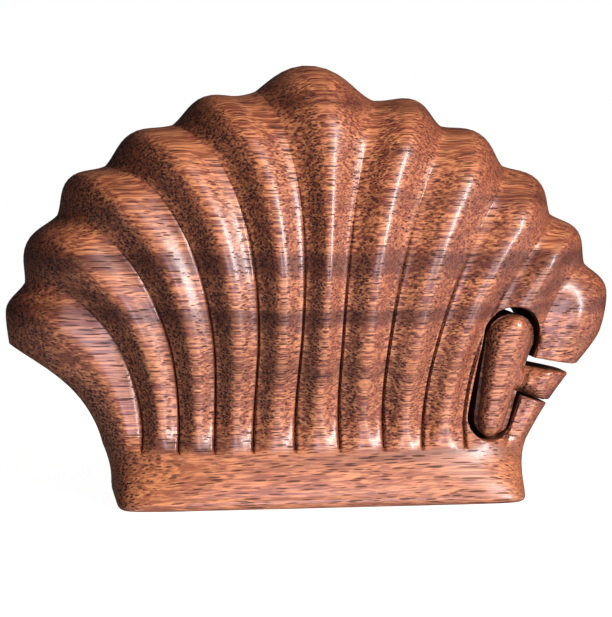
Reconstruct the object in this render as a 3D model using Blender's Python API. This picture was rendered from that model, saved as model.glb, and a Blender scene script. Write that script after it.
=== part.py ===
import math

import bmesh
import bpy
import numpy as np

# A carved hardwood puzzle box in the form of a fluted scallop shell on a straight foot bar.
# Its widest plane is Y = 0, the front faces -Y, and it stands on Z = 0. All sizes are in metres.

# Foot bar, whose ends are a little hollow between waist and foot, and squarer in section lower down
BAR_HALF_WIDTH = 0.0509
BAR_SHIFT = 0.0011
BAR_FRONT = 0.0215
BAR_BACK = 0.0180
BAR_EDGE = 0.0018
BAR_HOLLOW = 0.0007
BAR_SQUARENESS = 12.0
SQUARING_CURVE = 2.3
FLARE_CURVE = 1.3
BODY_SHIFT = 0.0010

# Waist, where the flutes end on the bar
WAIST_HEIGHT = 0.0142
WAIST_HALF_WIDTH = 0.0532
WAIST_FRONT = 0.0185
WAIST_BACK = 0.0150
WAIST_SQUARENESS = 3.5
TOP_SQUARENESS = 4.5

# Fan of ribs: the first and last lines are its side edges, the others are grooves. Angles are in degrees,
# and the feet are shares of the waist's half width
FOOT_SHARES = (-1.0, -0.844, -0.675, -0.511, -0.333, -0.139, 0.068, 0.273, 0.455, 0.662, 0.870, 1.0)
RIM_CENTRE_HEIGHT = 0.0250
RIM_ANGLES = (-79.2, -67.8, -54.1, -41.2, -26.9, -11.1, 11.9, 25.7, 39.7, 52.9, 64.6, 78.0)
RIM_LEANS = (-54.0, -99.0, -86.0, -78.0, -62.0, -38.0, 28.0, 32.0, 34.0, 43.0, 95.0, 38.0)
FOOT_LEANS = (-14.0, 4.0, 4.0, 4.0, 4.0, 2.0, -1.0, -1.0, 3.0, 0.0, 24.0, 27.0)
SIDE_REACH = (0.0762, 0.0758)
RIB_REACH = (0.0788, 0.0804, 0.0811, 0.0794, 0.0793, 0.0789, 0.0784, 0.0781, 0.0787, 0.0793, 0.0799)
CROWN_RISE = 0.0036
CROWN_LINE = 5.4
CROWN_SPREAD = 0.62
FOOT_PULL = 0.46
RIM_PULL = 0.24

# Thickness
EDGE_RADIUS = 0.0140
FRONT_DOME = 0.0145
BACK_DOME = 0.0060
DOME_HEIGHT = 0.0610
DOME_SPREAD_X = 0.0600
DOME_SPREAD_Z = 0.0420
WAIST_BLEND = 0.0260

# Flutes, from the waist (0) to the rim (1): a soft trough, narrower at a higher power, part of it sharpened,
# with a V cut along its bottom, whose half width is a share of the rib
FLUTE_STATIONS = (0.0, 0.06, 0.30, 0.55, 0.80, 1.0)
TROUGH_DEPTHS = (0.0004, 0.0018, 0.0025, 0.0031, 0.0035, 0.0033)
TROUGH_POWERS = (3.0, 2.4, 2.0, 2.0, 2.0, 2.2)
SHARP_SHARES = (0.0, 0.0, 0.0, 0.0, 0.1, 0.35)
NOTCH_DEPTHS = (0.0001, 0.0008, 0.0008, 0.0001, 0.0, 0.0)
NOTCH_WIDTH = 0.10
BACK_FLUTE_REACH = 0.0200

# Seam between the lid in front and the box behind, and the locating lip on the lid
SEAM = 0.0050
SEAM_GAP = 0.0003
LIP_WALL = 0.0024
LIP_CLEARANCE = 0.0004
LIP_ROOT = 0.0030
LIP_END_GAP = 0.0020

# Compartment: depths from the seam, walls from the outside and from the key slot
LID_POCKET_DEPTH = 0.0145
BOX_POCKET_DEPTH = 0.0050
FLOOR_WALL = 0.0058
RIM_WALL = 0.0231
SLOT_WALL = 0.0070
POCKET_ARC_RISE = 0.0090
POCKET_ARC_SPREAD = 60.0

# Key slot, straight through the thickness: a pill that leans right, with an arm out to the side
SLOT_FROM_SIDE = 0.0101
SLOT_OVER_WAIST = 0.0067
SLOT_FOOT_RADIUS = 0.0061
SLOT_HEAD_RADIUS = 0.0077
SLOT_LENGTH = 0.0197
SLOT_LEAN = 0.0051
ARM_UNDER_HEAD = 0.0058
ARM_WIDTH = 0.0107
ARM_TOP_SLOPE = -0.19
ARM_BOTTOM_SLOPE = -0.34

# Key, which rests on the slot's foot
KEY_FOOT_SLACK = 0.0014
KEY_HEAD_SLACK = 0.0011
KEY_SHORTER = 0.0002
KEY_REST_GAP = 0.0003
KEY_REST_ANGLE = -41.0
KEY_TOP_GAP = 0.0026
KEY_SAW_GAP = 0.0006

# Wood
WOOD_COLOUR = (0.30, 0.105, 0.045)
WOOD_ROUGHNESS = 0.28

# Sampling of the carved surface, as shares of a rib, of the height and of the bar
COLUMNS_IN_RIB = (0.0, NOTCH_WIDTH, 0.28, 0.50, 0.72, 1 - NOTCH_WIDTH)
COLUMNS_IN_END = (0.0, 0.12, 0.26, 0.42, 0.58, 0.74, 0.90)
ROWS = (0.0, 0.04, 0.09, 0.17, 0.27, 0.37, 0.47, 0.57, 0.66, 0.73, 0.79, 0.85, 0.91, 0.955, 0.987, 1.0)
BAR_ROWS = (0.85, 0.60, 0.32)
BAR_EDGE_TURNS = (0.0, 45.0, 90.0)
ARC_STEPS = 12

LINES = np.arange(len(RIM_ANGLES))
LAST = len(RIM_ANGLES) - 1
FAR = 0.2


def smooth_values(at, stations, values):
    """A smooth curve through the values (cubic pieces with averaged slopes)."""
    stations = np.asarray(stations, float)
    values = np.asarray(values, float)
    slopes = np.gradient(values, stations)
    piece = np.clip(np.searchsorted(stations, at) - 1, 0, len(stations) - 2)
    step = stations[piece + 1] - stations[piece]
    t = (at - stations[piece]) / step
    return (
        (2 * t**3 - 3 * t**2 + 1) * values[piece]
        + (t**3 - 2 * t**2 + t) * step * slopes[piece]
        + (3 * t**2 - 2 * t**3) * values[piece + 1]
        + (t**3 - t**2) * step * slopes[piece + 1]
    )


def smooth_step(t):
    t = np.clip(t, 0.0, 1.0)
    return t * t * (3 - 2 * t)


def quarter_round(share):
    """Height of a quarter circle over its chord: 0 at the edge, 1 from its full width on."""
    return np.sqrt(np.clip(1 - (1 - np.clip(share, 0.0, 1.0)) ** 2, 0.0, 1.0))


def line_feet():
    """X of every line at the waist, from the body's middle."""
    return WAIST_HALF_WIDTH * np.array(FOOT_SHARES)


def section(line, half_width, depth, squareness):
    """A squarish half oval seen from above: X from its middle and depth at each line number."""
    feet = line_feet() * half_width / WAIST_HALF_WIDTH
    x = np.interp(line, LINES, feet)
    for side, outer, inner in ((-1, 0, 1), (1, LAST, LAST - 1)):
        end = (line - outer) * -side < 1
        first = np.arccos((abs(feet[inner]) / half_width) ** (squareness / 2))
        turn = first * np.clip(np.abs(line - outer), 0.0, 1.0)
        x = np.where(end, side * half_width * np.cos(turn) ** (2 / squareness), x)
    share = 1 - (np.abs(x) / half_width) ** squareness
    return x, depth * np.clip(share, 0.0, 1.0) ** (1 / squareness)


def carving_line(line):
    """The line number as the fan uses it: the same X at the waist, but eased at both ends."""
    x, _ = section(line, WAIST_HALF_WIDTH, WAIST_FRONT, WAIST_SQUARENESS)
    return np.interp(x, line_feet(), LINES)


def rim_point(line):
    """X and Z where a line meets the rim, before the flutes are cut."""
    angle = np.radians(smooth_values(line, LINES, RIM_ANGLES))
    crests = LINES[:-1] + 0.5
    reach = smooth_values(line, [0, *crests, LAST], [SIDE_REACH[0], *RIB_REACH, SIDE_REACH[1]])
    beside = np.clip((line - CROWN_LINE) / CROWN_SPREAD, -1.0, 1.0)
    reach = reach + CROWN_RISE * (1 - beside**2) ** 2
    return reach * np.sin(angle), RIM_CENTRE_HEIGHT + reach * np.cos(angle)


def fan_point(line, rise):
    """X and Z on a line at its share from the waist (0) to the rim (1): upright, then leaning out."""
    foot_x = np.interp(line, LINES, line_feet()) + BODY_SHIFT
    foot_lean = np.radians(smooth_values(line, LINES, FOOT_LEANS))
    rim_lean = np.radians(smooth_values(line, LINES, RIM_LEANS))
    rim_x, rim_z = rim_point(line)
    length = np.hypot(rim_x - foot_x, rim_z - WAIST_HEIGHT)
    up = FOOT_PULL * length
    down = RIM_PULL * length
    xs = (foot_x, foot_x + np.sin(foot_lean) * up, rim_x - np.sin(rim_lean) * down, rim_x)
    zs = (WAIST_HEIGHT, WAIST_HEIGHT + np.cos(foot_lean) * up, rim_z - np.cos(rim_lean) * down, rim_z)
    shares = ((1 - rise) ** 3, 3 * (1 - rise) ** 2 * rise, 3 * (1 - rise) * rise**2, rise**3)
    x = sum(share * value for share, value in zip(shares, xs))
    z = sum(share * value for share, value in zip(shares, zs))
    return x, z


def fan_depth(line, carved, rise, waist, dome):
    """Distance of the smooth surface from the widest plane."""
    x, z = fan_point(carved, rise)
    rim_x, rim_z = rim_point(carved)
    squareness = WAIST_SQUARENESS + (TOP_SQUARENESS - WAIST_SQUARENESS) * rise
    _, side = section(line, WAIST_HALF_WIDTH, 1.0, squareness)
    swell = np.exp(-((x / DOME_SPREAD_X) ** 2) - ((z - DOME_HEIGHT) / DOME_SPREAD_Z) ** 2)
    blend = smooth_step((z - WAIST_HEIGHT) / WAIST_BLEND)
    full = waist * (1 - blend) + (EDGE_RADIUS + dome * swell) * blend
    return full * side * quarter_round(np.hypot(rim_x - x, rim_z - z) / EDGE_RADIUS)


def flute_cut(carved, rise, on_back):
    """How far the carved surface lies under the smooth one: round ribs, grooves, plain end ribs."""
    depth, power, sharpness, notch = (
        np.interp(rise, FLUTE_STATIONS, values)
        for values in (TROUGH_DEPTHS, TROUGH_POWERS, SHARP_SHARES, NOTCH_DEPTHS)
    )
    beside = np.abs(carved - np.round(carved))
    soft = np.cos(math.pi * beside) ** power
    sharp = 1 - np.sin(math.pi * beside)
    cut = depth * (soft * (1 - sharpness) + sharp * sharpness)
    cut = cut + notch * np.clip(1 - beside / NOTCH_WIDTH, 0.0, 1.0)
    cut = np.where((carved < 0.5) | (carved > LAST - 0.5), 0.0, cut)
    if on_back:
        x, z = fan_point(carved, rise)
        rim_x, rim_z = rim_point(carved)
        cut = cut * (1 - smooth_step(np.hypot(rim_x - x, rim_z - z) / BACK_FLUTE_REACH))
    return cut


def column_lines():
    inner = [rib + share for rib in range(1, LAST - 1) for share in COLUMNS_IN_RIB]
    left = list(COLUMNS_IN_END)
    right = [LAST - share for share in reversed(COLUMNS_IN_END)]
    return np.array(left + inner + [LAST - 1.0] + right)


def bar_rows():
    """(height, share of the flare from waist to foot, share of the bottom rounding)"""
    rows = [(WAIST_HEIGHT * share, 1 - share**FLARE_CURVE, 0.0) for share in BAR_ROWS]
    for turn in BAR_EDGE_TURNS:
        angle = math.radians(turn)
        rows.append((BAR_EDGE * (1 - math.sin(angle)), 1.0, 1 - math.cos(angle)))
    return rows


def surface_rows(lines, on_back):
    """Rows of (x, y, z, cut) down the front or the back, from the rim to the bottom of the bar."""
    sides = {False: (-1, WAIST_FRONT, BAR_FRONT, FRONT_DOME), True: (1, WAIST_BACK, BAR_BACK, BACK_DOME)}
    sign, waist, foot, dome = sides[on_back]
    carved = carving_line(lines)
    rows = []
    for rise in reversed(ROWS):
        x, z = fan_point(carved, rise)
        y = sign * fan_depth(lines, carved, rise, waist, dome)
        rows.append((x, y, z, flute_cut(carved, rise, on_back)))
    for height, flare, rounding in bar_rows():
        low = 1 - height / WAIST_HEIGHT
        depth = waist + (foot - waist) * flare - BAR_EDGE * rounding
        half = WAIST_HALF_WIDTH + (BAR_HALF_WIDTH - WAIST_HALF_WIDTH) * flare - BAR_EDGE * rounding
        half -= BAR_HOLLOW * 4 * low * (1 - low)
        squareness = WAIST_SQUARENESS + (BAR_SQUARENESS - WAIST_SQUARENESS) * low**SQUARING_CURVE
        x, y = section(lines, half, depth, squareness)
        shift = BODY_SHIFT + (BAR_SHIFT - BODY_SHIFT) * flare
        rows.append((x + shift, sign * y, np.full_like(x, height), np.zeros_like(x)))
    return rows


def grid_points(form, cuts, rows, other_side):
    """The grid's vertices. Its rim and its side edges lie at Y = 0 and are shared with the other side."""
    grid = []
    for number, (x, y, z, cut) in enumerate(rows):
        points = []
        for column in range(len(x)):
            on_edge = number == 0 or column in (0, len(x) - 1)
            if on_edge and other_side:
                points.append(other_side[number][column])
                continue
            point = form.verts.new((x[column], 0.0 if on_edge else y[column], z[column]))
            cuts[point] = cut[column]
            points.append(point)
        grid.append(points)
    return grid


def carved_form():
    """The whole outside of the shell as one closed mesh, foot bar included."""
    lines = column_lines()
    form = bmesh.new()
    cuts = {}
    front = grid_points(form, cuts, surface_rows(lines, False), None)
    back = grid_points(form, cuts, surface_rows(lines, True), front)
    for grid, turned in ((front, False), (back, True)):
        for upper, lower in zip(grid, grid[1:]):
            for column in range(len(lines) - 1):
                corners = [upper[column], lower[column], lower[column + 1], upper[column + 1]]
                form.faces.new(reversed(corners) if turned else corners)
    form.faces.new(list(reversed(front[-1])) + back[-1][1:-1])
    form.normal_update()
    sunk = {point: point.co - point.normal * cut for point, cut in cuts.items()}
    for point, place in sunk.items():
        point.co = place
    bmesh.ops.recalc_face_normals(form, faces=form.faces)
    mesh = bpy.data.meshes.new("carved_form")
    form.to_mesh(mesh)
    form.free()
    return mesh


def tangent_turn(foot, head):
    """Angles (from +X) at which the two straight sides touch both circles, right side then left side."""
    run = math.atan2(head[1] - foot[1], head[0] - foot[0])
    span = math.hypot(head[0] - foot[0], head[1] - foot[1])
    tilt = math.acos((foot[2] - head[2]) / span)
    return run - tilt, run + tilt


def arc(centre, start, end, steps):
    angles = [start + (end - start) * step / steps for step in range(steps + 1)]
    return [(centre[0] + centre[2] * math.cos(a), centre[1] + centre[2] * math.sin(a)) for a in angles]


def crossing(start, end, point, slope):
    """Where the line from start to end meets the line through point with that slope."""
    run, climb = end[0] - start[0], end[1] - start[1]
    along = (point[1] + slope * (start[0] - point[0]) - start[1]) / (climb - slope * run)
    return start[0] + along * run, start[1] + along * climb


def tee_outline(foot, head, arm_top, arm_bottom):
    """A pill leaning right with an arm out to the side. Circles are (x, z, radius), edges (x, z, slope)."""
    right, left = tangent_turn(foot, head)
    low = arc(foot, right, left - 2 * math.pi, ARC_STEPS)
    high = arc(head, left, right, ARC_STEPS)
    lower = crossing(low[0], high[-1], arm_bottom[:2], arm_bottom[2])
    upper = crossing(low[0], high[-1], arm_top[:2], arm_top[2])
    end = max(RIB_REACH)
    out_low = (end, arm_bottom[1] + arm_bottom[2] * (end - arm_bottom[0]))
    out_high = (end, arm_top[1] + arm_top[2] * (end - arm_top[0]))
    return [out_low, lower, *low, *high, upper, out_high]


def slot_shape():
    """The slot's foot and head circles, and the upper and lower edges of its arm."""
    foot = (WAIST_HALF_WIDTH - SLOT_FROM_SIDE, WAIST_HEIGHT + SLOT_OVER_WAIST, SLOT_FOOT_RADIUS)
    head = (foot[0] + SLOT_LEAN, foot[1] + SLOT_LENGTH, SLOT_HEAD_RADIUS)
    arm_x = head[0] + head[2]
    arm_z = head[1] - ARM_UNDER_HEAD
    return foot, head, (arm_x, arm_z, ARM_TOP_SLOPE), (arm_x, arm_z - ARM_WIDTH, ARM_BOTTOM_SLOPE)


def key_shape():
    """The key's circles and edges: the slot's, less the slack, with its foot resting on the slot's."""
    foot, head, arm_top, arm_bottom = slot_shape()
    rest = math.radians(KEY_REST_ANGLE)
    fall = KEY_FOOT_SLACK - KEY_REST_GAP
    foot_z = foot[1] + fall * math.sin(rest)
    return (
        (foot[0] + fall * math.cos(rest), foot_z, foot[2] - KEY_FOOT_SLACK),
        (head[0], foot_z + SLOT_LENGTH - KEY_SHORTER, head[2] - KEY_HEAD_SLACK),
        (arm_top[0], arm_top[1] - KEY_TOP_GAP, arm_top[2]),
        (arm_bottom[0], arm_bottom[1] + KEY_SAW_GAP, arm_bottom[2]),
    )


def pocket_outline(inset):
    """The compartment seen from the front: flat floor, sides leaning out, round top."""
    slot_foot, _, _, _ = slot_shape()
    half = slot_foot[0] - slot_foot[2] - SLOT_WALL - inset
    floor = WAIST_HEIGHT + FLOOR_WALL + inset
    centre_z = RIM_CENTRE_HEIGHT + POCKET_ARC_RISE
    radius = min(RIB_REACH) - POCKET_ARC_RISE - RIM_WALL - inset
    spread = math.radians(POCKET_ARC_SPREAD)
    top = arc((0.0, centre_z, radius), math.pi / 2 - spread, math.pi / 2 + spread, 2 * ARC_STEPS)
    return [(-half, floor), (half, floor), *top]


def prism(name, outline, near, far, collection):
    """A cutter: an outline in the X-Z plane, from Y = near to Y = far."""
    curve = bpy.data.curves.new(name, "CURVE")
    curve.dimensions = "2D"
    curve.fill_mode = "BOTH"
    curve.extrude = (far - near) / 2
    spline = curve.splines.new("POLY")
    spline.points.add(len(outline) - 1)
    for point, (x, z) in zip(spline.points, outline):
        point.co = (x, z, 0.0, 1.0)
    spline.use_cyclic_u = True
    drawn = bpy.data.objects.new(name + "_curve", curve)
    drawn.location = (0.0, (near + far) / 2, 0.0)
    drawn.rotation_euler = (math.pi / 2, 0.0, 0.0)
    collection.objects.link(drawn)
    bpy.context.view_layer.update()
    graph = bpy.context.evaluated_depsgraph_get()
    mesh = bpy.data.meshes.new_from_object(drawn.evaluated_get(graph))
    work = bmesh.new()
    work.from_mesh(mesh)
    bmesh.ops.remove_doubles(work, verts=work.verts, dist=1e-6)
    bmesh.ops.recalc_face_normals(work, faces=work.faces)
    work.to_mesh(mesh)
    work.free()
    cutter = bpy.data.objects.new(name, mesh)
    cutter.matrix_world = drawn.matrix_world
    collection.objects.link(cutter)
    bpy.data.objects.remove(drawn)
    cutter.hide_render = True
    cutter.display_type = "WIRE"
    return cutter


def square_outline(half):
    return [(-half, -half), (half, -half), (half, half), (-half, half)]


def combine(piece, operation, other):
    modifier = piece.modifiers.new(operation.lower() + "_" + other.name, "BOOLEAN")
    modifier.operation = operation
    modifier.solver = "EXACT"
    modifier.object = other


def wood(name, colour, roughness):
    material = bpy.data.materials.new(name)
    material.use_nodes = True
    shader = material.node_tree.nodes["Principled BSDF"]
    shader.inputs["Base Color"].default_value = (*colour, 1.0)
    shader.inputs["Roughness"].default_value = roughness
    shader.inputs["Metallic"].default_value = 0.0
    return material


def piece_of(name, mesh, collection, material):
    piece = bpy.data.objects.new(name, mesh)
    collection.objects.link(piece)
    piece.data.materials.clear()
    piece.data.materials.append(material)
    return piece


def collection_of(name):
    collection = bpy.data.collections.new(name)
    bpy.context.scene.collection.children.link(collection)
    return collection


def main():
    for obj in list(bpy.data.objects):
        bpy.data.objects.remove(obj)
    pieces = collection_of("shell_puzzle_box")
    cutters = collection_of("cutters")
    form = carved_form()
    lacquered = wood("lacquered_hardwood", WOOD_COLOUR, WOOD_ROUGHNESS)

    sheet = square_outline(FAR)
    lip_end = SEAM + BOX_POCKET_DEPTH - LIP_END_GAP
    behind = prism("behind_the_seam", sheet, SEAM - SEAM_GAP / 2, FAR, cutters)
    before = prism("before_the_seam", sheet, -FAR, SEAM + SEAM_GAP / 2, cutters)
    slot = prism("key_slot", tee_outline(*slot_shape()), -FAR, FAR, cutters)
    key_block = prism("key_block", tee_outline(*key_shape()), -FAR, FAR, cutters)
    lip = prism("lip_plate", pocket_outline(LIP_CLEARANCE), SEAM - LIP_ROOT, lip_end, cutters)
    lid_pocket = prism(
        "lid_pocket", pocket_outline(LIP_CLEARANCE + LIP_WALL), SEAM - LID_POCKET_DEPTH, FAR, cutters
    )
    box_pocket = prism("box_pocket", pocket_outline(0.0), -FAR, SEAM + BOX_POCKET_DEPTH, cutters)

    front = piece_of("shell_front", form, pieces, lacquered)
    combine(front, "DIFFERENCE", behind)
    combine(front, "UNION", lip)
    combine(front, "DIFFERENCE", lid_pocket)
    combine(front, "DIFFERENCE", slot)

    back = piece_of("shell_back", form.copy(), pieces, lacquered)
    combine(back, "DIFFERENCE", before)
    combine(back, "DIFFERENCE", box_pocket)
    combine(back, "DIFFERENCE", slot)

    key = piece_of("key", form.copy(), pieces, lacquered)
    combine(key, "INTERSECT", key_block)


main()
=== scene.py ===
# Carved scallop shell puzzle box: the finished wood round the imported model.
# The shell's two halves and its key are cut from one carved form, made again here at fine detail.

import math

import bmesh
import bpy
import numpy as np
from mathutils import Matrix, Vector


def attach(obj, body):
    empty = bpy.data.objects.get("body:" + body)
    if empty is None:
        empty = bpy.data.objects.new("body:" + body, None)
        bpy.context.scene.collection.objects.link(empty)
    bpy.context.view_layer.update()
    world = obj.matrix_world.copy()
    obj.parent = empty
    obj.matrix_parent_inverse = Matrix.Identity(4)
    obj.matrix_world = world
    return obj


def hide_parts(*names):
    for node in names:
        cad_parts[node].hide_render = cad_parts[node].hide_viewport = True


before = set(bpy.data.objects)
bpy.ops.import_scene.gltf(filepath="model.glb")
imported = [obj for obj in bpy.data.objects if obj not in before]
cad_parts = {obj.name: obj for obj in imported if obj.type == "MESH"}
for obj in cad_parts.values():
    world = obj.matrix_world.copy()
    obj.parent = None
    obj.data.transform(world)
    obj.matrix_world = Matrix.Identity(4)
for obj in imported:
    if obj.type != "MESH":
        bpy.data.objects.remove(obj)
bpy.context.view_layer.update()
print("frame loaded")

scene = bpy.context.scene


# Helpers for node trees

def feed(tree, socket, value):
    # a link from another node's output, or a fixed value
    if isinstance(value, bpy.types.NodeSocket):
        tree.links.new(value, socket)
    else:
        socket.default_value = value


def socketed(tree, kind, **inputs):
    made = tree.nodes.new(kind)
    for name, value in inputs.items():
        feed(tree, made.inputs[name], value)
    return made


def mathNode(tree, operation, *inputs, clamp=False):
    made = tree.nodes.new("ShaderNodeMath")
    made.operation = operation
    made.use_clamp = clamp
    for socket, value in zip(made.inputs, inputs):
        feed(tree, socket, value)
    return made.outputs[0]


def vectorNode(tree, operation, *inputs):
    made = tree.nodes.new("ShaderNodeVectorMath")
    made.operation = operation
    for socket, value in zip(made.inputs, inputs):
        feed(tree, socket, value)
    return made.outputs["Value" if operation in ("DOT_PRODUCT", "LENGTH") else "Vector"]


def scaled(tree, vector, factor):
    made = tree.nodes.new("ShaderNodeVectorMath")
    made.operation = "SCALE"
    feed(tree, made.inputs["Vector"], vector)
    feed(tree, made.inputs["Scale"], factor)
    return made.outputs["Vector"]


def ramped(tree, value, low, high):
    # smoothly from 0 at low to 1 at high, and high may be the smaller number
    made = tree.nodes.new("ShaderNodeMapRange")
    made.interpolation_type = "SMOOTHSTEP"
    made.inputs["From Min"].default_value = low
    made.inputs["From Max"].default_value = high
    tree.links.new(value, made.inputs["Value"])
    return made.outputs["Result"]


def mixed(tree, share, first, second):
    made = tree.nodes.new("ShaderNodeMix")
    made.data_type = "RGBA"
    feed(tree, made.inputs[0], share)
    for socket, colour in ((made.inputs[6], first), (made.inputs[7], second)):
        feed(tree, socket, (*colour, 1.0) if isinstance(colour, tuple) else colour)
    return made.outputs[2]


def newGroup(name, kind, inputs, outputs):
    tree = bpy.data.node_groups.new(name, kind)
    for way, sockets in (("INPUT", inputs), ("OUTPUT", outputs)):
        for socket, sort in sockets.items():
            tree.interface.new_socket(socket, in_out=way, socket_type="NodeSocket" + sort)
    return tree, tree.nodes.new("NodeGroupInput"), tree.nodes.new("NodeGroupOutput")


# Camera: the photograph's, a long lens a little to the left and a little above

camera = {
    "azimuth": -8.0,
    "elevation": 5.0,
    "distance": 0.55,
    "target": (-0.0012, 0.0, 0.047),
    "focal": 2200.0,  # in pixels of the photograph
    "pictureWidth": 612,
    "sensorWidth": 36.0,
    "clip": (0.01, 50.0),
}


def aim(obj, target, azimuth, elevation, distance):
    # azimuth 0 is straight in front of the shell, and it grows to the right
    turn = math.radians(azimuth)
    rise = math.radians(elevation)
    away = Vector(
        (math.sin(turn) * math.cos(rise), -math.cos(turn) * math.cos(rise), math.sin(rise))
    )
    obj.location = Vector(target) + away * distance
    obj.rotation_euler = away.to_track_quat("Z", "Y").to_euler()
    scene.collection.objects.link(obj)


def makeCamera(v):
    data = bpy.data.cameras.new("photoCamera")
    data.sensor_fit = "HORIZONTAL"
    data.sensor_width = v["sensorWidth"]
    data.lens = v["focal"] / v["pictureWidth"] * data.sensor_width
    data.clip_start, data.clip_end = v["clip"]
    eye = bpy.data.objects.new("photoCamera", data)
    aim(eye, v["target"], v["azimuth"], v["elevation"], v["distance"])
    scene.camera = eye


# Floor and light

studio = {
    "floorSize": 3.0,
    "floorColour": (0.25, 0.25, 0.25),
    "floorRoughness": 0.9,
    "floorSpecular": 0.1,
    "floorGlow": 0.97,
    "floorFadesFrom": 0.10,
    "floorFadesTo": 0.45,
    # surroundings as they light the wood: above left, above right, below left, below right
    "light": (
        (0.095, 0.064, 0.054), (0.200, 0.180, 0.170),
        (0.110, 0.074, 0.060), (0.420, 0.360, 0.330),
    ),
    # surroundings as the lacquer mirrors them, in the same order
    "gloss": (
        (0.015, 0.012, 0.012), (0.070, 0.066, 0.074),
        (0.030, 0.024, 0.024), (0.500, 0.470, 0.540),
    ),
    "glossBehind": (0.03, 0.03, 0.03),
    # where one part of the surroundings passes into the next, by x, z and y of the direction
    "leftToRight": (-0.6, 0.5),
    "aboveToBelow": (0.04, -0.10),
    "frontToBehind": (0.15, 0.55),
    "backdrop": (1.0, 1.0, 1.0),  # as the camera sees it
    "lampTarget": (0.0, 0.0, 0.05),
}

# name: (azimuth, elevation, distance, width, height, power, colour, what it does)
# a matt lamp lights the wood, a gloss lamp shows in the lacquer
lamps = {
    "softKey": (39.0, 24.0, 1.10, 0.60, 0.60, 26.5, (1.0, 0.96, 0.94), "matt"),
    "stripRight": (40.0, 12.0, 0.90, 0.075, 0.50, 6.8, (0.97, 0.95, 1.0), "gloss"),
    "stripBelow": (40.0, -20.0, 0.90, 0.075, 0.45, 0.9, (0.97, 0.95, 1.0), "gloss"),
    "windowFront": (8.0, -2.0, 0.90, 0.18, 0.30, 1.8, (0.78, 0.76, 1.0), "gloss"),
    "softRight": (24.0, 32.0, 0.90, 0.30, 0.30, 0.8, (0.95, 0.92, 1.0), "gloss"),
}


def makeFloor(v):
    half = v["floorSize"] / 2
    corners = [(-half, -half, 0), (half, -half, 0), (half, half, 0), (-half, half, 0)]
    mesh = bpy.data.meshes.new("floor")
    mesh.from_pydata(corners, [], [(0, 1, 2, 3)])
    matt = bpy.data.materials.new("paleFloor")
    matt.use_nodes = True
    mesh.materials.append(matt)
    tree = matt.node_tree
    shader = tree.nodes["Principled BSDF"]
    shader.inputs["Base Color"].default_value = (*v["floorColour"], 1.0)
    shader.inputs["Roughness"].default_value = v["floorRoughness"]
    shader.inputs["Specular IOR Level"].default_value = v["floorSpecular"]
    shader.inputs["Emission Color"].default_value = (1.0, 1.0, 1.0, 1.0)
    shader.inputs["Emission Strength"].default_value = v["floorGlow"]
    # the floor thins out into the white backdrop
    place = tree.nodes.new("ShaderNodeTexCoord")
    length = vectorNode(tree, "LENGTH", place.outputs["Object"])
    fade = ramped(tree, length, v["floorFadesTo"], v["floorFadesFrom"])
    tree.links.new(fade, shader.inputs["Alpha"])
    floor = bpy.data.objects.new("floor", mesh)
    floor.visible_glossy = False
    floor.visible_shadow = False
    scene.collection.objects.link(floor)


def makeSky(v):
    sky = bpy.data.worlds.new("studio")
    scene.world = sky
    sky.use_nodes = True
    tree = sky.node_tree
    way = tree.nodes.new("ShaderNodeTexCoord")
    parts = socketed(tree, "ShaderNodeSeparateXYZ", Vector=way.outputs["Generated"])
    rightwards = ramped(tree, parts.outputs["X"], *v["leftToRight"])
    downwards = ramped(tree, parts.outputs["Z"], *v["aboveToBelow"])
    behind = ramped(tree, parts.outputs["Y"], *v["frontToBehind"])

    def around(colours):
        above = mixed(tree, rightwards, colours[0], colours[1])
        below = mixed(tree, rightwards, colours[2], colours[3])
        return mixed(tree, downwards, above, below)

    mirrored = mixed(tree, behind, around(v["gloss"]), v["glossBehind"])
    path = tree.nodes.new("ShaderNodeLightPath")
    seen = mixed(tree, path.outputs["Is Glossy Ray"], around(v["light"]), mirrored)
    seen = mixed(tree, path.outputs["Is Camera Ray"], seen, v["backdrop"])
    tree.links.new(seen, tree.nodes["Background"].inputs["Color"])


def makeLamps(v, table):
    for name, values in table.items():
        azimuth, elevation, distance, width, height, power, colour, task = values
        data = bpy.data.lights.new(name, "AREA")
        data.shape = "RECTANGLE"
        data.size = width
        data.size_y = height
        data.energy = power
        data.color = colour
        lamp = bpy.data.objects.new(name, data)
        lamp.visible_camera = False
        lamp.visible_glossy = task == "gloss"
        lamp.visible_diffuse = task == "matt"
        aim(lamp, v["lampTarget"], azimuth, elevation, distance)


scene.view_settings.view_transform = "Standard"
makeCamera(camera)
makeFloor(studio)
makeSky(studio)
makeLamps(studio, lamps)
print("camera, floor and light made")


# The carved form. The sizes repeat the model's own, in metres and degrees.
# Groove lines are numbered from 0 at the left side to 11 at the right side

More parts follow.
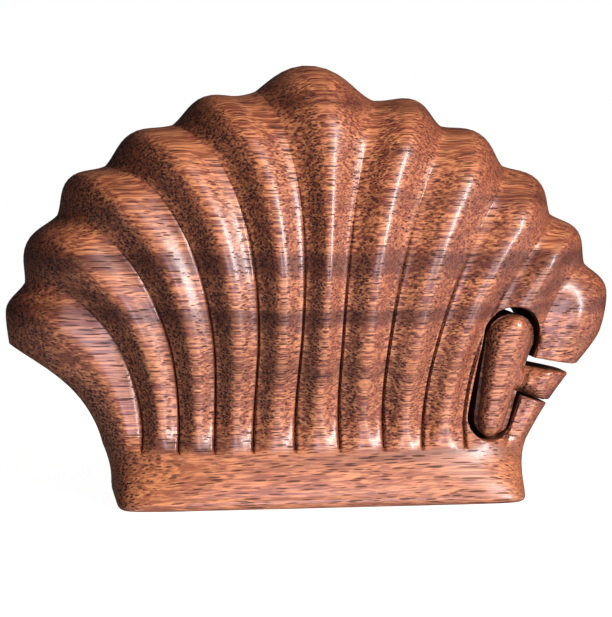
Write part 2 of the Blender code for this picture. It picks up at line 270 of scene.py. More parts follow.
form = {
    "barHalfWidth": 0.0509,
    "barShift": 0.0011,  # to the right
    "barFront": 0.0215,
    "barBack": 0.0180,
    "barEdge": 0.0018,
    "barHollow": 0.0007,
    "barSquareness": 12.0,
    "squaringCurve": 2.3,  # how late the bar turns square on its way down
    "flareCurve": 1.3,  # 1 would flare evenly
    "bodyShift": 0.0010,
    "waistHeight": 0.0142,
    "waistHalfWidth": 0.0532,
    "waistFront": 0.0185,
    "waistBack": 0.0150,
    "waistSquareness": 3.5,
    "topSquareness": 4.5,
    # each line's place at the waist, as a share of the half width
    "footShares": (
        -1.0, -0.844, -0.675, -0.511, -0.333, -0.139, 0.068, 0.273, 0.455, 0.662, 0.870, 1.0,
    ),
    # each line's angle at the rim, round the rim's centre and from upright
    "rimCentreHeight": 0.0250,
    "rimAngles": (
        -79.2, -67.8, -54.1, -41.2, -26.9, -11.1, 11.9, 25.7, 39.7, 52.9, 64.6, 78.0,
    ),
    # each line's own lean from upright, where it reaches the rim and where it leaves the waist
    "rimLeans": (
        -54.0, -99.0, -86.0, -78.0, -62.0, -38.0, 28.0, 32.0, 34.0, 43.0, 95.0, 38.0,
    ),
    "footLeans": (-14.0, 4.0, 4.0, 4.0, 4.0, 2.0, -1.0, -1.0, 3.0, 0.0, 24.0, 27.0),
    # from the rim's centre out to its two sides and to each rib's crest
    "sideReach": (0.0762, 0.0758),
    "ribReach": (
        0.0788, 0.0804, 0.0811, 0.0794, 0.0793, 0.0789, 0.0784, 0.0781, 0.0787, 0.0793, 0.0799,
    ),
    "crownRise": 0.0036,  # how much higher the crown's lobe stands, round this line
    "crownLine": 5.4,
    "crownSpread": 0.62,
    "footPull": 0.46,  # how far each lean carries, as a share of the line's length
    "rimPull": 0.24,
    "edgeRadius": 0.0140,
    "frontDome": 0.0145,
    "backDome": 0.0060,
    "domeHeight": 0.0610,
    "domeSpreadX": 0.0600,
    "domeSpreadZ": 0.0420,
    "waistBlend": 0.0260,
}

flutes = {
    # shares of the way from waist to rim, and the values there
    "stations": (0.0, 0.06, 0.30, 0.55, 0.80, 1.0),
    "troughDepth": (0.0006, 0.0021, 0.0026, 0.0031, 0.0035, 0.0033),
    "troughPower": (2.4, 2.0, 2.0, 2.0, 2.0, 2.2),
    "sharpShare": (0.0, 0.0, 0.0, 0.0, 0.1, 0.35),
    "notchDepth": (0.0010, 0.0014, 0.0009, 0.0003, 0.0, 0.0),
    "notchWidth": (0.050, 0.045, 0.034, 0.034, 0.034, 0.034),  # as a share of a rib's width
    "backReach": 0.0200,  # how far in from the rim the flutes run on the back
    "depthShare": 1.0,
    "handWobble": 0.00012,  # how unevenly the hand tool cut
    "wobbleScale": 90.0,
    "wobbleDetail": 1.0,
}
alongFlutes = ("troughDepth", "troughPower", "sharpShare", "notchDepth", "notchWidth")

meshGrid = {
    "columnsInRib": 22,
    "columnsInEnd": 22,
    "crowding": 0.80,  # of the columns, towards the grooves
    "rowsUp": 84,
    "rowsOverRim": 34,
    "rimShare": 0.20,
    "rowsInBar": 14,
    "rowsInEdge": 5,
    "softPasses": 3,  # over the crease at the waist
    "softRows": 2,  # on either side of it
}

lineNumbers = np.arange(len(form["rimAngles"]))
lastLine = len(form["rimAngles"]) - 1


def smoothValues(at, stations, values):
    # a smooth curve through the values at the stations
    stations = np.asarray(stations, float)
    values = np.asarray(values, float)
    slopes = np.gradient(values, stations)
    piece = np.clip(np.searchsorted(stations, at) - 1, 0, len(stations) - 2)
    step = stations[piece + 1] - stations[piece]
    t = (at - stations[piece]) / step
    return (
        (2 * t**3 - 3 * t**2 + 1) * values[piece]
        + (t**3 - 2 * t**2 + t) * step * slopes[piece]
        + (3 * t**2 - 2 * t**3) * values[piece + 1]
        + (t**3 - t**2) * step * slopes[piece + 1]
    )


def smoothStep(t):
    t = np.clip(t, 0.0, 1.0)
    return t * t * (3 - 2 * t)


def between(first, second, share):
    return first + (second - first) * share


def quarterRound(share):
    return np.sqrt(np.clip(1 - (1 - np.clip(share, 0.0, 1.0)) ** 2, 0.0, 1.0))


def lineFeet(v):
    return v["waistHalfWidth"] * np.array(v["footShares"])


def section(v, line, halfWidth, depth, squareness):
    # the block cut level, a squarish oval, whose two end ribs turn the corner to the sides
    feet = lineFeet(v) * halfWidth / v["waistHalfWidth"]
    x = np.interp(line, lineNumbers, feet)
    for side, outer, inner in ((-1, 0, 1), (1, lastLine, lastLine - 1)):
        end = (line - outer) * -side < 1
        first = np.arccos((abs(feet[inner]) / halfWidth) ** (squareness / 2))
        turn = first * np.clip(np.abs(line - outer), 0.0, 1.0)
        x = np.where(end, side * halfWidth * np.cos(turn) ** (2 / squareness), x)
    share = 1 - (np.abs(x) / halfWidth) ** squareness
    return x, depth * np.clip(share, 0.0, 1.0) ** (1 / squareness)


def carvingLine(v, line):
    # the groove line that a column stands on, also in the end ribs
    x, _ = section(v, line, v["waistHalfWidth"], v["waistFront"], v["waistSquareness"])
    return np.interp(x, lineFeet(v), lineNumbers)


def rimPoint(v, line):
    angle = np.radians(smoothValues(line, lineNumbers, v["rimAngles"]))
    crests = lineNumbers[:-1] + 0.5
    first, last = v["sideReach"]
    reach = smoothValues(line, [0, *crests, lastLine], [first, *v["ribReach"], last])
    beside = np.clip((line - v["crownLine"]) / v["crownSpread"], -1.0, 1.0)
    reach = reach + v["crownRise"] * (1 - beside**2) ** 2
    return reach * np.sin(angle), v["rimCentreHeight"] + reach * np.cos(angle)


def fanPoint(v, line, rise):
    # a place on the fan seen from the front, with rise 0 at the waist and 1 at the rim
    footX = np.interp(line, lineNumbers, lineFeet(v)) + v["bodyShift"]
    footLean = np.radians(smoothValues(line, lineNumbers, v["footLeans"]))
    rimLean = np.radians(smoothValues(line, lineNumbers, v["rimLeans"]))
    rimX, rimZ = rimPoint(v, line)
    waist = v["waistHeight"]
    length = np.hypot(rimX - footX, rimZ - waist)
    up = v["footPull"] * length
    down = v["rimPull"] * length
    xs = (footX, footX + np.sin(footLean) * up, rimX - np.sin(rimLean) * down, rimX)
    zs = (waist, waist + np.cos(footLean) * up, rimZ - np.cos(rimLean) * down, rimZ)
    shares = ((1 - rise) ** 3, 3 * (1 - rise) ** 2 * rise, 3 * (1 - rise) * rise**2, rise**3)
    x = sum(share * value for share, value in zip(shares, xs))
    z = sum(share * value for share, value in zip(shares, zs))
    return x, z


def fanDepth(v, line, carved, rise, waist, dome):
    # how far the smooth form stands out there, before the flutes are cut
    x, z = fanPoint(v, carved, rise)
    rimX, rimZ = rimPoint(v, carved)
    squareness = between(v["waistSquareness"], v["topSquareness"], rise)
    _, side = section(v, line, v["waistHalfWidth"], 1.0, squareness)
    aside = (x / v["domeSpreadX"]) ** 2
    swell = np.exp(-aside - ((z - v["domeHeight"]) / v["domeSpreadZ"]) ** 2)
    blend = smoothStep((z - v["waistHeight"]) / v["waistBlend"])
    full = waist * (1 - blend) + (v["edgeRadius"] + dome * swell) * blend
    return full * side * quarterRound(np.hypot(rimX - x, rimZ - z) / v["edgeRadius"])


def ribShares(count, crowding):
    # columns stand closer together beside the groove, where the V is
    u = np.arange(count) / count
    return u - crowding * np.sin(2 * math.pi * u) / (2 * math.pi)


def columnLines(g):
    shares = ribShares(g["columnsInRib"], g["crowding"])
    inner = [rib + share for rib in range(1, lastLine - 1) for share in shares]
    left = list(np.arange(g["columnsInEnd"]) / g["columnsInEnd"])
    right = [lastLine - share for share in reversed(left)]
    return np.array(left + inner + [lastLine - 1.0] + right)


def fanRises(g):
    low = np.arange(g["rowsUp"]) / g["rowsUp"] * (1 - g["rimShare"])
    turn = np.arange(g["rowsOverRim"] + 1) / g["rowsOverRim"] * math.pi / 2
    return np.concatenate([low, 1 - g["rimShare"] + g["rimShare"] * np.sin(turn)])


def barRows(v, g):
    # height, share of the flare from waist to foot, share of the bottom rounding
    rows = []
    foot = v["barEdge"] / v["waistHeight"]
    for step in range(1, g["rowsInBar"] + 1):
        share = 1 - step / (g["rowsInBar"] + 1) * (1 - foot)
        rows.append((v["waistHeight"] * share, 1 - share ** v["flareCurve"], 0.0))
    for step in range(g["rowsInEdge"] + 1):
        angle = math.pi / 2 * step / g["rowsInEdge"]
        rows.append((v["barEdge"] * (1 - math.sin(angle)), 1.0, 1 - math.cos(angle)))
    return rows


def surfaceGrid(v, g, lines, onBack):
    # one side of the form, row by row from the rim down to the bar's bottom:
    # x, y, z, rise (-1 on the bar) and distance from the rim (1 on the bar)
    sign = 1 if onBack else -1
    waist = v["waistBack"] if onBack else v["waistFront"]
    foot = v["barBack"] if onBack else v["barFront"]
    dome = v["backDome"] if onBack else v["frontDome"]
    carved = carvingLine(v, lines)
    rimX, rimZ = rimPoint(v, carved)
    rows = []
    for rise in fanRises(g)[::-1]:
        x, z = fanPoint(v, carved, rise)
        y = fanDepth(v, lines, carved, rise, waist, dome)
        rows.append((x, y, z, np.full_like(x, rise), np.hypot(rimX - x, rimZ - z)))
    waistRow = len(rows) - 1
    for height, flare, rounding in barRows(v, g):
        drop = 1 - height / v["waistHeight"]
        half = between(v["waistHalfWidth"], v["barHalfWidth"], flare)
        half -= v["barHollow"] * 4 * drop * (1 - drop)
        depth = between(waist, foot, flare) - v["barEdge"] * rounding
        squaring = drop ** v["squaringCurve"]
        squareness = between(v["waistSquareness"], v["barSquareness"], squaring)
        x, y = section(v, lines, half - v["barEdge"] * rounding, depth, squareness)
        shift = between(v["bodyShift"], v["barShift"], flare)
        onBar = np.full_like(x, 1.0)
        rows.append((x + shift, y, np.full_like(x, height), -onBar, onBar))
    grid = np.array(rows).transpose(1, 0, 2)
    y = grid[1]
    low = waistRow - g["softRows"]
    high = waistRow + g["softRows"] + 1
    for _ in range(g["softPasses"]):
        y[low:high] = (y[low - 1:high - 1] + 2 * y[low:high] + y[low + 1:high + 1]) / 4
    y *= sign
    y[0, :] = 0.0
    y[:, (0, -1)] = 0.0
    return grid, carved


def smoothForm(v, f, g):
    # the whole form as one closed mesh, with the values for the flutes stored on its points
    lines = columnLines(g)
    sides = [surfaceGrid(v, g, lines, onBack) for onBack in (False, True)]
    rows, columns = sides[0][0].shape[1:]
    number = np.arange(rows * columns).reshape(rows, columns)
    behind = number + rows * columns
    behind[0, :] = number[0, :]
    behind[:, (0, -1)] = number[:, (0, -1)]
    grids = np.concatenate([grid.reshape(5, -1) for grid, _ in sides], axis=1)
    carved = np.concatenate([np.tile(line, rows) for _, line in sides])
    both = np.concatenate([number.ravel(), behind.ravel()])
    used, renumbered = np.unique(both, return_inverse=True)
    front, back = renumbered.reshape(2, rows, columns)
    faces = []
    for side, turned in ((front, False), (back, True)):
        corners = [side[:-1, :-1], side[1:, :-1], side[1:, 1:], side[:-1, 1:]]
        quads = np.stack(corners[::-1] if turned else corners, -1).reshape(-1, 4)
        faces.extend(quads.tolist())
    faces.append(front[-1][::-1].tolist() + back[-1][1:-1].tolist())
    mesh = bpy.data.meshes.new("smoothForm")
    mesh.from_pydata(grids[:3, used].T, [], faces)
    mesh.update()
    line = carved[used]
    rise = grids[3, used]
    values = {name: np.interp(rise, f["stations"], f[name]) for name in alongFlutes}
    # no flutes on the bar or down the two sides, and they run out on the back
    fade = np.where((line < 0.5) | (line > lastLine - 0.5) | (rise < 0), 0.0, 1.0)
    backFade = 1 - smoothStep(grids[4, used] / f["backReach"])
    values["line"] = line
    values["fade"] = fade * np.where(used >= rows * columns, backFade, 1.0)
    for name, column in values.items():
        attribute = mesh.attributes.new(name, "FLOAT", "POINT")
        attribute.data.foreach_set("value", column)
    return mesh


# Geometry Nodes: the flutes, cut along the normals of the smooth form

def fluteTree(f, material):
    inputs = {
        "Geometry": "Geometry",
        "Depth share": "Float",
        "Wobble": "Float",
        "Wobble scale": "Float",
    }
    outputs = {"Geometry": "Geometry"}
    tree, start, end = newGroup("cutFlutes", "GeometryNodeTree", inputs, outputs)

    def stored(name):
        read = tree.nodes.new("GeometryNodeInputNamedAttribute")
        read.data_type = "FLOAT"
        read.inputs["Name"].default_value = name
        return read.outputs["Attribute"]

    # a soft trough between two ribs, sharper towards the rim
    line = stored("line")
    toGroove = mathNode(tree, "SUBTRACT", line, mathNode(tree, "ROUND", line))
    beside = mathNode(tree, "ABSOLUTE", toGroove)
    turn = mathNode(tree, "MULTIPLY", beside, math.pi)
    soft = mathNode(tree, "POWER", mathNode(tree, "COSINE", turn), stored("troughPower"))
    sharp = mathNode(tree, "SUBTRACT", 1.0, mathNode(tree, "SINE", turn))
    sharpShare = stored("sharpShare")
    softShare = mathNode(tree, "SUBTRACT", 1.0, sharpShare)
    softPart = mathNode(tree, "MULTIPLY", soft, softShare)
    trough = mathNode(tree, "MULTIPLY_ADD", sharp, sharpShare, softPart)

    # the V low in it
    wedge = mathNode(tree, "DIVIDE", beside, stored("notchWidth"))
    wedge = mathNode(tree, "SUBTRACT", 1.0, wedge, clamp=True)
    notch = mathNode(tree, "MULTIPLY", wedge, stored("notchDepth"))
    cut = mathNode(tree, "MULTIPLY_ADD", trough, stored("troughDepth"), notch)
    cut = mathNode(tree, "MULTIPLY", cut, stored("fade"))
    cut = mathNode(tree, "MULTIPLY", cut, start.outputs["Depth share"])

    # the carver's hand
    scale = start.outputs["Wobble scale"]
    noise = socketed(tree, "ShaderNodeTexNoise", Scale=scale, Detail=f["wobbleDetail"])
    wander = mathNode(tree, "SUBTRACT", noise.outputs[0], 0.5)
    cut = mathNode(tree, "MULTIPLY_ADD", wander, start.outputs["Wobble"], cut)

    normal = tree.nodes.new("GeometryNodeInputNormal").outputs["Normal"]
    sunk = scaled(tree, normal, mathNode(tree, "MULTIPLY", cut, -1.0))
    shape = start.outputs["Geometry"]
    shape = socketed(tree, "GeometryNodeSetPosition", Geometry=shape, Offset=sunk).outputs[0]
    shape = socketed(tree, "GeometryNodeRealizeInstances", Geometry=shape).outputs[0]
    shape = socketed(tree, "GeometryNodeSetMaterial", Geometry=shape, Material=material).outputs[0]
    tree.links.new(shape, end.inputs["Geometry"])
    return tree


def takeMesh(obj):
    bpy.context.view_layer.update()
    graph = bpy.context.evaluated_depsgraph_get()
    return bpy.data.meshes.new_from_object(obj.evaluated_get(graph))


def cutFlutes(mesh, f, material):
    holder = bpy.data.objects.new("carving", mesh)
    scene.collection.objects.link(holder)
    tree = fluteTree(f, material)
    modifier = holder.modifiers.new("cutFlutes", "NODES")
    modifier.node_group = tree
    sizes = {
        "Depth share": f["depthShare"],
        "Wobble": f["handWobble"],
        "Wobble scale": f["wobbleScale"],
    }
    for item in tree.interface.items_tree:
        if item.in_out == "INPUT" and item.name in sizes:
            modifier[item.identifier] = sizes[item.name]
    carved = takeMesh(holder)
    bpy.data.objects.remove(holder)
    return carved


# Key slot, key, lip and compartment, seen from the front

slotAndKey = {
    # the slot's pill, from the shell's side and the waist
    "slotFromSide": 0.0101,
    "slotOverWaist": 0.0067,
    "slotFootRadius": 0.0061,
    "slotHeadRadius": 0.0077,
    "slotLength": 0.0197,
    "slotLean": 0.0051,
    # the arm out to the side
    "armUnderHead": 0.0058,
    "armWidth": 0.0107,
    "armTopSlope": -0.19,
    "armBottomSlope": -0.34,
    # how much smaller the key is, and how it rests in the slot
    "keyFootSlack": 0.0014,
    "keyHeadSlack": 0.0011,
    "keyShorter": 0.0002,
    "keyRestGap": 0.0003,
    "keyRestAngle": -41.0,
    "keyTopGap": 0.0026,
    "keySawGap": 0.0006,
    "beyondRim": 0.004,  # both cutters run out past the rim
    "arcSteps": 36,
}

compartment = {
    "seam": 0.0050,
    "seamGap": 0.0003,
    "lidDepth": 0.0145,
    "boxDepth": 0.0050,
    # what is left standing round it
    "floorWall": 0.0058,
    "rimWall": 0.0231,
    "slotWall": 0.0070,
    "arcRise": 0.0090,
    "arcSpread": 60.0,
    "arcSteps": 72,
    # the lid's lip, which drops into the box
    "lipWall": 0.0024,
    "lipClearance": 0.0004,
    "lipRoot": 0.0030,
    "lipEndGap": 0.0020,
}

cutting = {
    "far": 0.2,  # well outside the block
    "solver": "MANIFOLD",
    "sharpAngle": 38.0,  # edges that turn more than this stay crisp
}

# radii of the rounded edges: the key is well rounded on its pill's front, less on its arm
easing = {
    "slot": 0.00045,
    "keyPill": 0.00320,
    "keyArm": 0.00090,
    "keyBehind": 0.00060,
    "seam": 0.00030,
    "turnOver": 0.008,  # the strip in which one of the key's radii passes into the next
    "band": 1.6,  # times the radius, the strip whose mesh is made finer
    "passes": 2,
}


def arc(centre, start, end, steps):
    x, z, radius = centre
    angles = [start + (end - start) * step / steps for step in range(steps + 1)]
    return [(x + radius * math.cos(angle), z + radius * math.sin(angle)) for angle in angles]


def crossing(start, end, point, slope):
    # where the line from start to end meets the sloping line through the point
    run = end[0] - start[0]
    climb = end[1] - start[1]
    along = (point[1] + slope * (start[0] - point[0]) - start[1]) / (climb - slope * run)
    return start[0] + along * run, start[1] + along * climb


def teeOutline(steps, reach, foot, head, armTop, armBottom):
    # a pill that leans right, with an arm out to the side
    run = math.atan2(head[1] - foot[1], head[0] - foot[0])
    tilt = math.acos((foot[2] - head[2]) / math.hypot(head[0] - foot[0], head[1] - foot[1]))
    low = arc(foot, run - tilt, run + tilt - 2 * math.pi, steps)
    high = arc(head, run + tilt, run - tilt, steps)
    lower = crossing(low[0], high[-1], armBottom[:2], armBottom[2])
    upper = crossing(low[0], high[-1], armTop[:2], armTop[2])
    outLow = (reach, armBottom[1] + armBottom[2] * (reach - armBottom[0]))
    outHigh = (reach, armTop[1] + armTop[2] * (reach - armTop[0]))
    return [outLow, lower, *low, *high, upper, outHigh]


def slotShape(v, s):
    # foot and head as x, z and radius, the arm's two edges as x, z and slope
    footX = v["waistHalfWidth"] - s["slotFromSide"]
    footZ = v["waistHeight"] + s["slotOverWaist"]
    headX = footX + s["slotLean"]
    headZ = footZ + s["slotLength"]
    armX = headX + s["slotHeadRadius"]
    armZ = headZ - s["armUnderHead"]
    return (
        (footX, footZ, s["slotFootRadius"]),
        (headX, headZ, s["slotHeadRadius"]),
        (armX, armZ, s["armTopSlope"]),
        (armX, armZ - s["armWidth"], s["armBottomSlope"]),
    )


def keyShape(v, s):
    # smaller than the slot, and dropped until it rests on the slot's foot
    foot, head, armTop, armBottom = slotShape(v, s)
    rest = math.radians(s["keyRestAngle"])
    fall = s["keyFootSlack"] - s["keyRestGap"]
    footZ = foot[1] + fall * math.sin(rest)
    return (
        (foot[0] + fall * math.cos(rest), footZ, foot[2] - s["keyFootSlack"]),
        (head[0], footZ + s["slotLength"] - s["keyShorter"], head[2] - s["keyHeadSlack"]),
        (armTop[0], armTop[1] - s["keyTopGap"], armTop[2]),
        (armBottom[0], armBottom[1] + s["keySawGap"], armBottom[2]),
    )


def pocketOutline(v, s, c, inset):
    slotFoot = slotShape(v, s)[0]
    half = slotFoot[0] - slotFoot[2] - c["slotWall"] - inset
    floor = v["waistHeight"] + c["floorWall"] + inset
    centreZ = v["rimCentreHeight"] + c["arcRise"]
    radius = min(v["ribReach"]) - c["arcRise"] - c["rimWall"] - inset
    spread = math.radians(c["arcSpread"])
    upright = math.pi / 2
    top = arc((0.0, centreZ, radius), upright - spread, upright + spread, c["arcSteps"])
    return [(-half, floor), (half, floor), *top]


def squareOutline(half):
    return [(-half, -half), (half, -half), (half, half), (-half, half)]


def outlineDistance(x, z, outline):
    # distance from a closed outline, and whether the place lies inside it
    nearest = np.full(x.shape, np.inf)
    inside = np.zeros(x.shape, bool)
    for (ax, az), (bx, bz) in zip(outline, outline[1:] + outline[:1]):
        runX = bx - ax
        runZ = bz - az
        along = ((x - ax) * runX + (z - az) * runZ) / (runX**2 + runZ**2)
        along = np.clip(along, 0.0, 1.0)
        nearest = np.minimum(nearest, np.hypot(x - ax - along * runX, z - az - along * runZ))
        if az != bz:
            inside ^= ((az > z) != (bz > z)) & (x < ax + runX * (z - az) / runZ)
    return nearest, inside


def easeEdge(mesh, radiusAt, e, distance, keepInside):
    # rounds the edge that a cut will leave: the skin sinks towards it before it is made.
    # What lies on the other side of the cut sinks by the whole radius, except where both stay
    work = bmesh.new()
    work.from_mesh(mesh)
    for _ in range(e["passes"]):
        places = np.array([vert.co for vert in work.verts])
        near, _ = distance(places)
        work.verts.index_update()
        close = near < e["band"] * radiusAt(places)
        edges = [
            edge for edge in work.edges
            if close[edge.verts[0].index] or close[edge.verts[1].index]
        ]
        bmesh.ops.subdivide_edges(work, edges=edges, cuts=1, use_grid_fill=True)
    work.normal_update()
    places = np.array([vert.co for vert in work.verts])
    normals = np.array([vert.normal for vert in work.verts])
    near, inside = distance(places)
    radius = radiusAt(places)
    sink = radius * (1 - quarterRound(near / radius))
    if keepInside is not None:
        sink = np.where(inside != keepInside, radius, sink)
    places = places - normals * sink[:, None]
    for vert, place in zip(work.verts, places):
        vert.co = place
    eased = bpy.data.meshes.new(mesh.name + "_eased")
    work.to_mesh(eased)
    work.free()
    for material in mesh.materials:
        eased.materials.append(material)
    return eased


def prism(name, outline, near, far, material):
    # a cutter: an outline seen from the front, from y = near to y = far
    count = len(outline)
    points = [(x, y, z) for y in (near, far) for x, z in outline]
    ends = [list(range(count)), list(range(2 * count - 1, count - 1, -1))]
    sides = [(n, n + count, (n + 1) % count + count, (n + 1) % count) for n in range(count)]
    mesh = bpy.data.meshes.new(name)
    mesh.from_pydata(points, [], ends + sides)
    work = bmesh.new()
    work.from_mesh(mesh)
    bmesh.ops.recalc_face_normals(work, faces=work.faces)
    work.to_mesh(mesh)
    work.free()
    mesh.materials.append(material)
    cutter = bpy.data.objects.new(name, mesh)
    scene.collection.objects.link(cutter)
    return cutter


def joined(name, mesh, steps, cutters, c):
    piece = bpy.data.objects.new(name, mesh)
    scene.collection.objects.link(piece)
    for operation, cutter in steps:
        modifier = piece.modifiers.new(operation.lower(), "BOOLEAN")
        modifier.operation = operation
        modifier.solver = c["solver"]
        modifier.object = cutters[cutter]
        modifier.material_mode = "TRANSFER"
    done = takeMesh(piece)
    bpy.data.objects.remove(piece)
    done.name = name
    for used in (*alongFlutes, "line", "fade"):
        if used in done.attributes:
            done.attributes.remove(done.attributes[used])
    done.shade_smooth()
    done.set_sharp_from_angle(angle=math.radians(c["sharpAngle"]))
    made = bpy.data.objects.new(name, done)
    scene.collection.objects.link(made)
    return made


# Wood, with painted shade on the rib flanks and on the sawn walls

wood = {
    "fibreTurn": 5.0,  # degrees from the shell's width towards its back
    "lightWood": (0.510, 0.190, 0.080),
    # red and dark wood, also the colours of the painted shade on the flanks
    "redWoodAndShade": (0.205, 0.050, 0.027),
    "darkWoodAndShade": (0.060, 0.014, 0.009),
    "poreAndShadeColour": (0.016, 0.005, 0.004),
    # each noise: waves to a metre along the fibres and across them, detail, roughness
    "wanderNoise": ((12.0, 45.0, 45.0), 2.0, 0.5),
    "fineNoise": ((90.0, 2600.0, 2600.0), 2.0, 0.6),
    "streakNoise": ((40.0, 1300.0, 1300.0), 3.0, 0.6),
    "bandNoise": ((7.0, 90.0, 130.0), 2.0, 0.5),
    "wander": (0.0, 0.004, 0.004),  # how far the fibres stray
    # where each effect starts and where it is full
    # left-facing flanks: end grain, and painted shade
    "leftEndGrainAndShade": (-0.25, -0.75),
    # right-facing flanks: painted shade
    "rightPaintedShade": (0.12, 0.70),
    "streakRange": (0.38, 0.62),
    "fineRange": (0.60, 0.38),
    "bandRange": (0.50, 0.72),
    "paleFoot": (0.018, 0.010),
    "poreRange": (0.24, 0.10),
    "poreSpacing": 0.00060,
    "poreLength": 15.0,  # times the spacing
    "poreVariety": 0.20,  # how unlike each other they are in width
    "poreOnLeftEnds": 0.15,  # how much wider they look there
    "poreDepth": 0.80,
    "poreDepthOnLeftEnds": 0.20,  # added to it there
    "darkBands": ((0.0602, 0.0036), (0.0476, 0.0030)),  # height and half width
    "darkBandCore": 0.3,  # the share of the half width that is fully dark
    # how strongly each one tints the wood
    # painted shade on the right-facing flanks
    "rightPaintedShadeShare": 0.60,
    "lateShare": 0.68,
    "fineShare": 0.55,
    "paleFootShare": 0.20,
    # painted shade on the left-facing flanks, with the end grain's darkening
    "leftEndsShadeShare": 0.50,
    "poreShare": 0.92,
    "roughness": 0.40,
    "poreRoughness": 0.40,  # added to it
    "fineRoughness": 0.10,
    "specular": 0.4,
    "lacquerRoughness": 0.26,
    "lacquerWeight": 0.85,
    "sawnRoughness": 0.7,
    # painted shade: the sawn walls deep in the slot and the pockets darkened
    "sawnPaintedShade": 0.55,
    "bumpDepth": 0.00014,
    "poreRelief": -0.8,
    "fineRelief": 0.45,
    "streakRelief": 0.4,
}


# the wood's grain and pores, and the painted shade on the rib flanks
def woodFigureAndShade(w):
    inputs = {"Position": "Vector", "Facing": "Vector"}
    outputs = {"Colour": "Color", "Roughness": "Float", "Lacquer": "Float", "Height": "Float"}
    tree, start, end = newGroup("woodFigureAndShade", "ShaderNodeTree", inputs, outputs)
    turn = math.radians(w["fibreTurn"])
    lengthwise = tree.nodes.new("ShaderNodeMapping")
    lengthwise.vector_type = "TEXTURE"
    lengthwise.inputs["Rotation"].default_value = (0.0, 0.0, turn)
    tree.links.new(start.outputs["Position"], lengthwise.inputs["Vector"])
    fibre = lengthwise.outputs["Vector"]

    def times(value, factor):
        return mathNode(tree, "MULTIPLY", value, factor)

    def noiseAlong(vector, scale, detail, roughness):
        at = vectorNode(tree, "MULTIPLY", vector, scale)
        return socketed(
            tree, "ShaderNodeTexNoise", Vector=at, Scale=1.0, Detail=detail, Roughness=roughness
        )

    def tinted(colour, where, share, tint):
        return mixed(tree, times(where, share), colour, tint)

    # the fibres wander a little
    drift = noiseAlong(fibre, *w["wanderNoise"]).outputs["Color"]
    centred = vectorNode(tree, "SUBTRACT", drift, (0.5, 0.5, 0.5))
    fibre = vectorNode(tree, "ADD", fibre, vectorNode(tree, "MULTIPLY", centred, w["wander"]))

    # how far the surface cuts across the fibres, towards the left and towards the right; both
    # masks also carry painted shade, the left one together with the end grain
    lengthways = (math.cos(turn), math.sin(turn), 0.0)
    facing = vectorNode(tree, "DOT_PRODUCT", start.outputs["Facing"], lengthways)
    leftEndGrainAndShade = ramped(tree, facing, *w["leftEndGrainAndShade"])
    rightPaintedShade = ramped(tree, facing, *w["rightPaintedShade"])

    # open pores, long thin tubes along the fibres, which look fuller where they are cut across
    across = 1 / w["poreSpacing"]
    packed = vectorNode(tree, "MULTIPLY", fibre, (across / w["poreLength"], across, across))
    cells = socketed(tree, "ShaderNodeTexVoronoi", Vector=packed, Scale=1.0)
    sorts = socketed(tree, "ShaderNodeSeparateColor", Color=cells.outputs["Color"]).outputs[0]
    away = mathNode(tree, "MULTIPLY_ADD", sorts, -w["poreVariety"], cells.outputs["Distance"])
    away = mathNode(tree, "MULTIPLY_ADD", leftEndGrainAndShade, -w["poreOnLeftEnds"], away)
    depth = mathNode(tree, "MULTIPLY_ADD", leftEndGrainAndShade, w["poreDepthOnLeftEnds"], w["poreDepth"])
    pores = times(ramped(tree, away, *w["poreRange"]), depth)

    # fine fibres, streaks and broad bands
    fine = noiseAlong(fibre, *w["fineNoise"]).outputs[0]
    streak = noiseAlong(fibre, *w["streakNoise"]).outputs[0]
    band = noiseAlong(fibre, *w["bandNoise"]).outputs[0]

    # late wood, also in two bands that run level through the whole block
    height = socketed(tree, "ShaderNodeSeparateXYZ", Vector=fibre).outputs["Z"]
    late = ramped(tree, band, *w["bandRange"])
    for middle, half in w["darkBands"]:
        off = mathNode(tree, "ABSOLUTE", mathNode(tree, "SUBTRACT", height, middle))
        inBand = ramped(tree, off, half, half * w["darkBandCore"])
        late = mathNode(tree, "MAXIMUM", late, inBand)

    colour = mixed(tree, ramped(tree, streak, *w["streakRange"]), w["redWoodAndShade"], w["lightWood"])
    # painted shade: right-facing flanks darkened towards red wood
    colour = tinted(colour, rightPaintedShade, w["rightPaintedShadeShare"], w["redWoodAndShade"])
    colour = tinted(colour, late, w["lateShare"], w["darkWoodAndShade"])
    colour = tinted(colour, ramped(tree, fine, *w["fineRange"]), w["fineShare"], w["darkWoodAndShade"])
    # lighter towards the foot
    foot = ramped(tree, height, *w["paleFoot"])
    colour = tinted(colour, foot, w["paleFootShare"], w["lightWood"])
    # painted shade on the left-facing flanks, where the cut ends also drink in more finish and
    # look darker
    colour = tinted(colour, leftEndGrainAndShade, w["leftEndsShadeShare"], w["darkWoodAndShade"])
    colour = tinted(colour, pores, w["poreShare"], w["poreAndShadeColour"])
    tree.links.new(colour, end.inputs["Colour"])

    # the lacquer sinks into the pores
    lacquer = times(mathNode(tree, "SUBTRACT", 1.0, pores), w["lacquerWeight"])
    tree.links.new(lacquer, end.inputs["Lacquer"])
    rough = mathNode(tree, "MULTIPLY_ADD", pores, w["poreRoughness"], w["roughness"])
    rough = mathNode(tree, "MULTIPLY_ADD", fine, w["fineRoughness"], rough)
    tree.links.new(rough, end.inputs["Roughness"])
    relief = mathNode(tree, "MULTIPLY_ADD", pores, w["poreRelief"], times(fine, w["fineRelief"]))
    relief = mathNode(tree, "MULTIPLY_ADD", streak, w["streakRelief"], relief)
    tree.links.new(relief, end.inputs["Height"])
    return tree


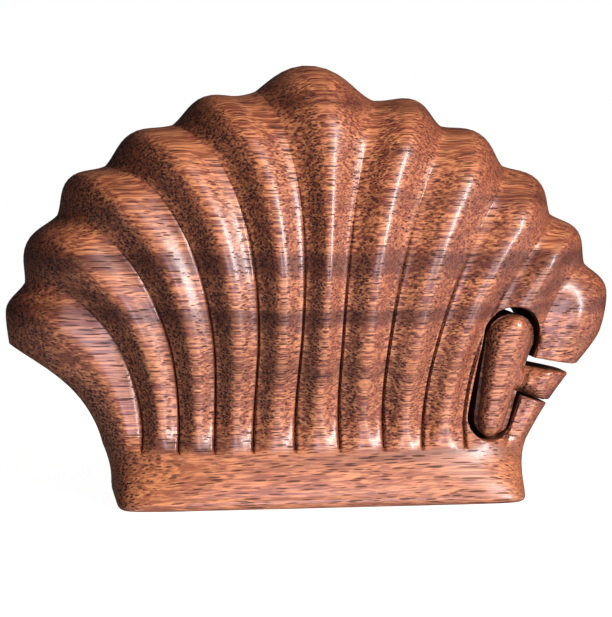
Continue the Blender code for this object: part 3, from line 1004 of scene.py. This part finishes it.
def woodMaterial(name, figureAndShade, w, roughness=None, paintedShade=0.0):
    # lacquered, or sawn and bare where a roughness is given, and then darkened as painted shade by
    # the share given
    made = bpy.data.materials.new(name)
    made.use_nodes = True
    tree = made.node_tree
    shader = tree.nodes["Principled BSDF"]
    place = tree.nodes.new("ShaderNodeTexCoord")
    group = tree.nodes.new("ShaderNodeGroup")
    group.node_tree = figureAndShade
    tree.links.new(place.outputs["Object"], group.inputs["Position"])
    tree.links.new(place.outputs["Normal"], group.inputs["Facing"])
    colour = group.outputs["Colour"]
    # painted shade for the deep walls, towards the pore colour
    if paintedShade:
        colour = mixed(tree, paintedShade, colour, w["poreAndShadeColour"])
    tree.links.new(colour, shader.inputs["Base Color"])
    if roughness is None:
        tree.links.new(group.outputs["Roughness"], shader.inputs["Roughness"])
        tree.links.new(group.outputs["Lacquer"], shader.inputs["Coat Weight"])
        shader.inputs["Coat Roughness"].default_value = w["lacquerRoughness"]
    else:
        shader.inputs["Roughness"].default_value = roughness
    relief = group.outputs["Height"]
    bump = socketed(tree, "ShaderNodeBump", Strength=1.0, Distance=w["bumpDepth"], Height=relief)
    tree.links.new(bump.outputs["Normal"], shader.inputs["Normal"])
    shader.inputs["Specular IOR Level"].default_value = w["specular"]
    return made


# both wood materials carry the painted shade of the flanks
figureAndShade = woodFigureAndShade(wood)
lacqueredAndShaded = woodMaterial("lacqueredWoodAndShade", figureAndShade, wood)
# the cut walls: bare sawn wood, with painted shade
sawnShaded = woodMaterial("sawnWoodShaded", figureAndShade, wood, wood["sawnRoughness"], wood["sawnPaintedShade"])
print("wood made")

base = cutFlutes(smoothForm(form, flutes, meshGrid), flutes, lacqueredAndShaded)
print("shell carved:", len(base.polygons), "faces")

seam = compartment["seam"]
reach = max(form["ribReach"]) + slotAndKey["beyondRim"]
slotOutline = teeOutline(slotAndKey["arcSteps"], reach, *slotShape(form, slotAndKey))
keyOutline = teeOutline(slotAndKey["arcSteps"], reach, *keyShape(form, slotAndKey))


def fromOutline(outline):
    return lambda places: outlineDistance(places[:, 0], places[:, 2], outline)


def fromSeam(places):
    return np.abs(places[:, 1] - seam), places[:, 1] > seam


def evenRadius(radius):
    return lambda places: np.full(len(places), radius)


def keyRadius(places):
    # well rounded in front on the pill, less on the arm and behind
    armX = slotShape(form, slotAndKey)[2][0]
    onArm = smoothStep((places[:, 0] - armX) / easing["turnOver"] + 0.5)
    radius = between(easing["keyPill"], easing["keyArm"], onArm)
    behind = smoothStep(places[:, 1] / easing["turnOver"] + 0.5)
    return between(radius, easing["keyBehind"], behind)


slotEased = easeEdge(base, evenRadius(easing["slot"]), easing, fromOutline(slotOutline), False)
shellForm = easeEdge(slotEased, evenRadius(easing["seam"]), easing, fromSeam, None)
keyForm = easeEdge(base, keyRadius, easing, fromOutline(keyOutline), True)
print("edges eased:", len(shellForm.polygons), len(keyForm.polygons), "faces")

far = cutting["far"]
halfGap = compartment["seamGap"] / 2
lipInset = compartment["lipClearance"]
lidInset = lipInset + compartment["lipWall"]
lipOutline = pocketOutline(form, slotAndKey, compartment, lipInset)
lidOutline = pocketOutline(form, slotAndKey, compartment, lidInset)
boxOutline = pocketOutline(form, slotAndKey, compartment, 0.0)
boxFloor = seam + compartment["boxDepth"]

# name: (outline, where it starts, where it ends), from front to back
cutterShapes = {
    "behindSeam": (squareOutline(far), seam - halfGap, far),
    "beforeSeam": (squareOutline(far), -far, seam + halfGap),
    "slotCutter": (slotOutline, -far, far),
    "keyCutter": (keyOutline, -far, far),
    "lip": (lipOutline, seam - compartment["lipRoot"], boxFloor - compartment["lipEndGap"]),
    "lidPocket": (lidOutline, seam - compartment["lidDepth"], far),
    "boxPocket": (boxOutline, -far, boxFloor),
}
cutters = {name: prism(name, *shape, sawnShaded) for name, shape in cutterShapes.items()}

frontSteps = (
    ("DIFFERENCE", "behindSeam"),
    ("UNION", "lip"),
    ("DIFFERENCE", "lidPocket"),
    ("DIFFERENCE", "slotCutter"),
)
backSteps = (
    ("DIFFERENCE", "beforeSeam"),
    ("DIFFERENCE", "boxPocket"),
    ("DIFFERENCE", "slotCutter"),
)
front = joined("shellFront", shellForm, frontSteps, cutters, cutting)
back = joined("shellBack", shellForm, backSteps, cutters, cutting)
key = joined("slidingKey", keyForm, (("INTERSECT", "keyCutter"),), cutters, cutting)
for cutter in cutters.values():
    bpy.data.objects.remove(cutter)
print("pieces cut:", [(piece.name, len(piece.data.polygons)) for piece in (front, back, key)])

pieces = (
    (front, "box", "shell_front"),
    (back, "box", "shell_back"),
    (key, "key", "key"),
)
for piece, body, node in pieces:
    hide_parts(node)
    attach(piece, body)
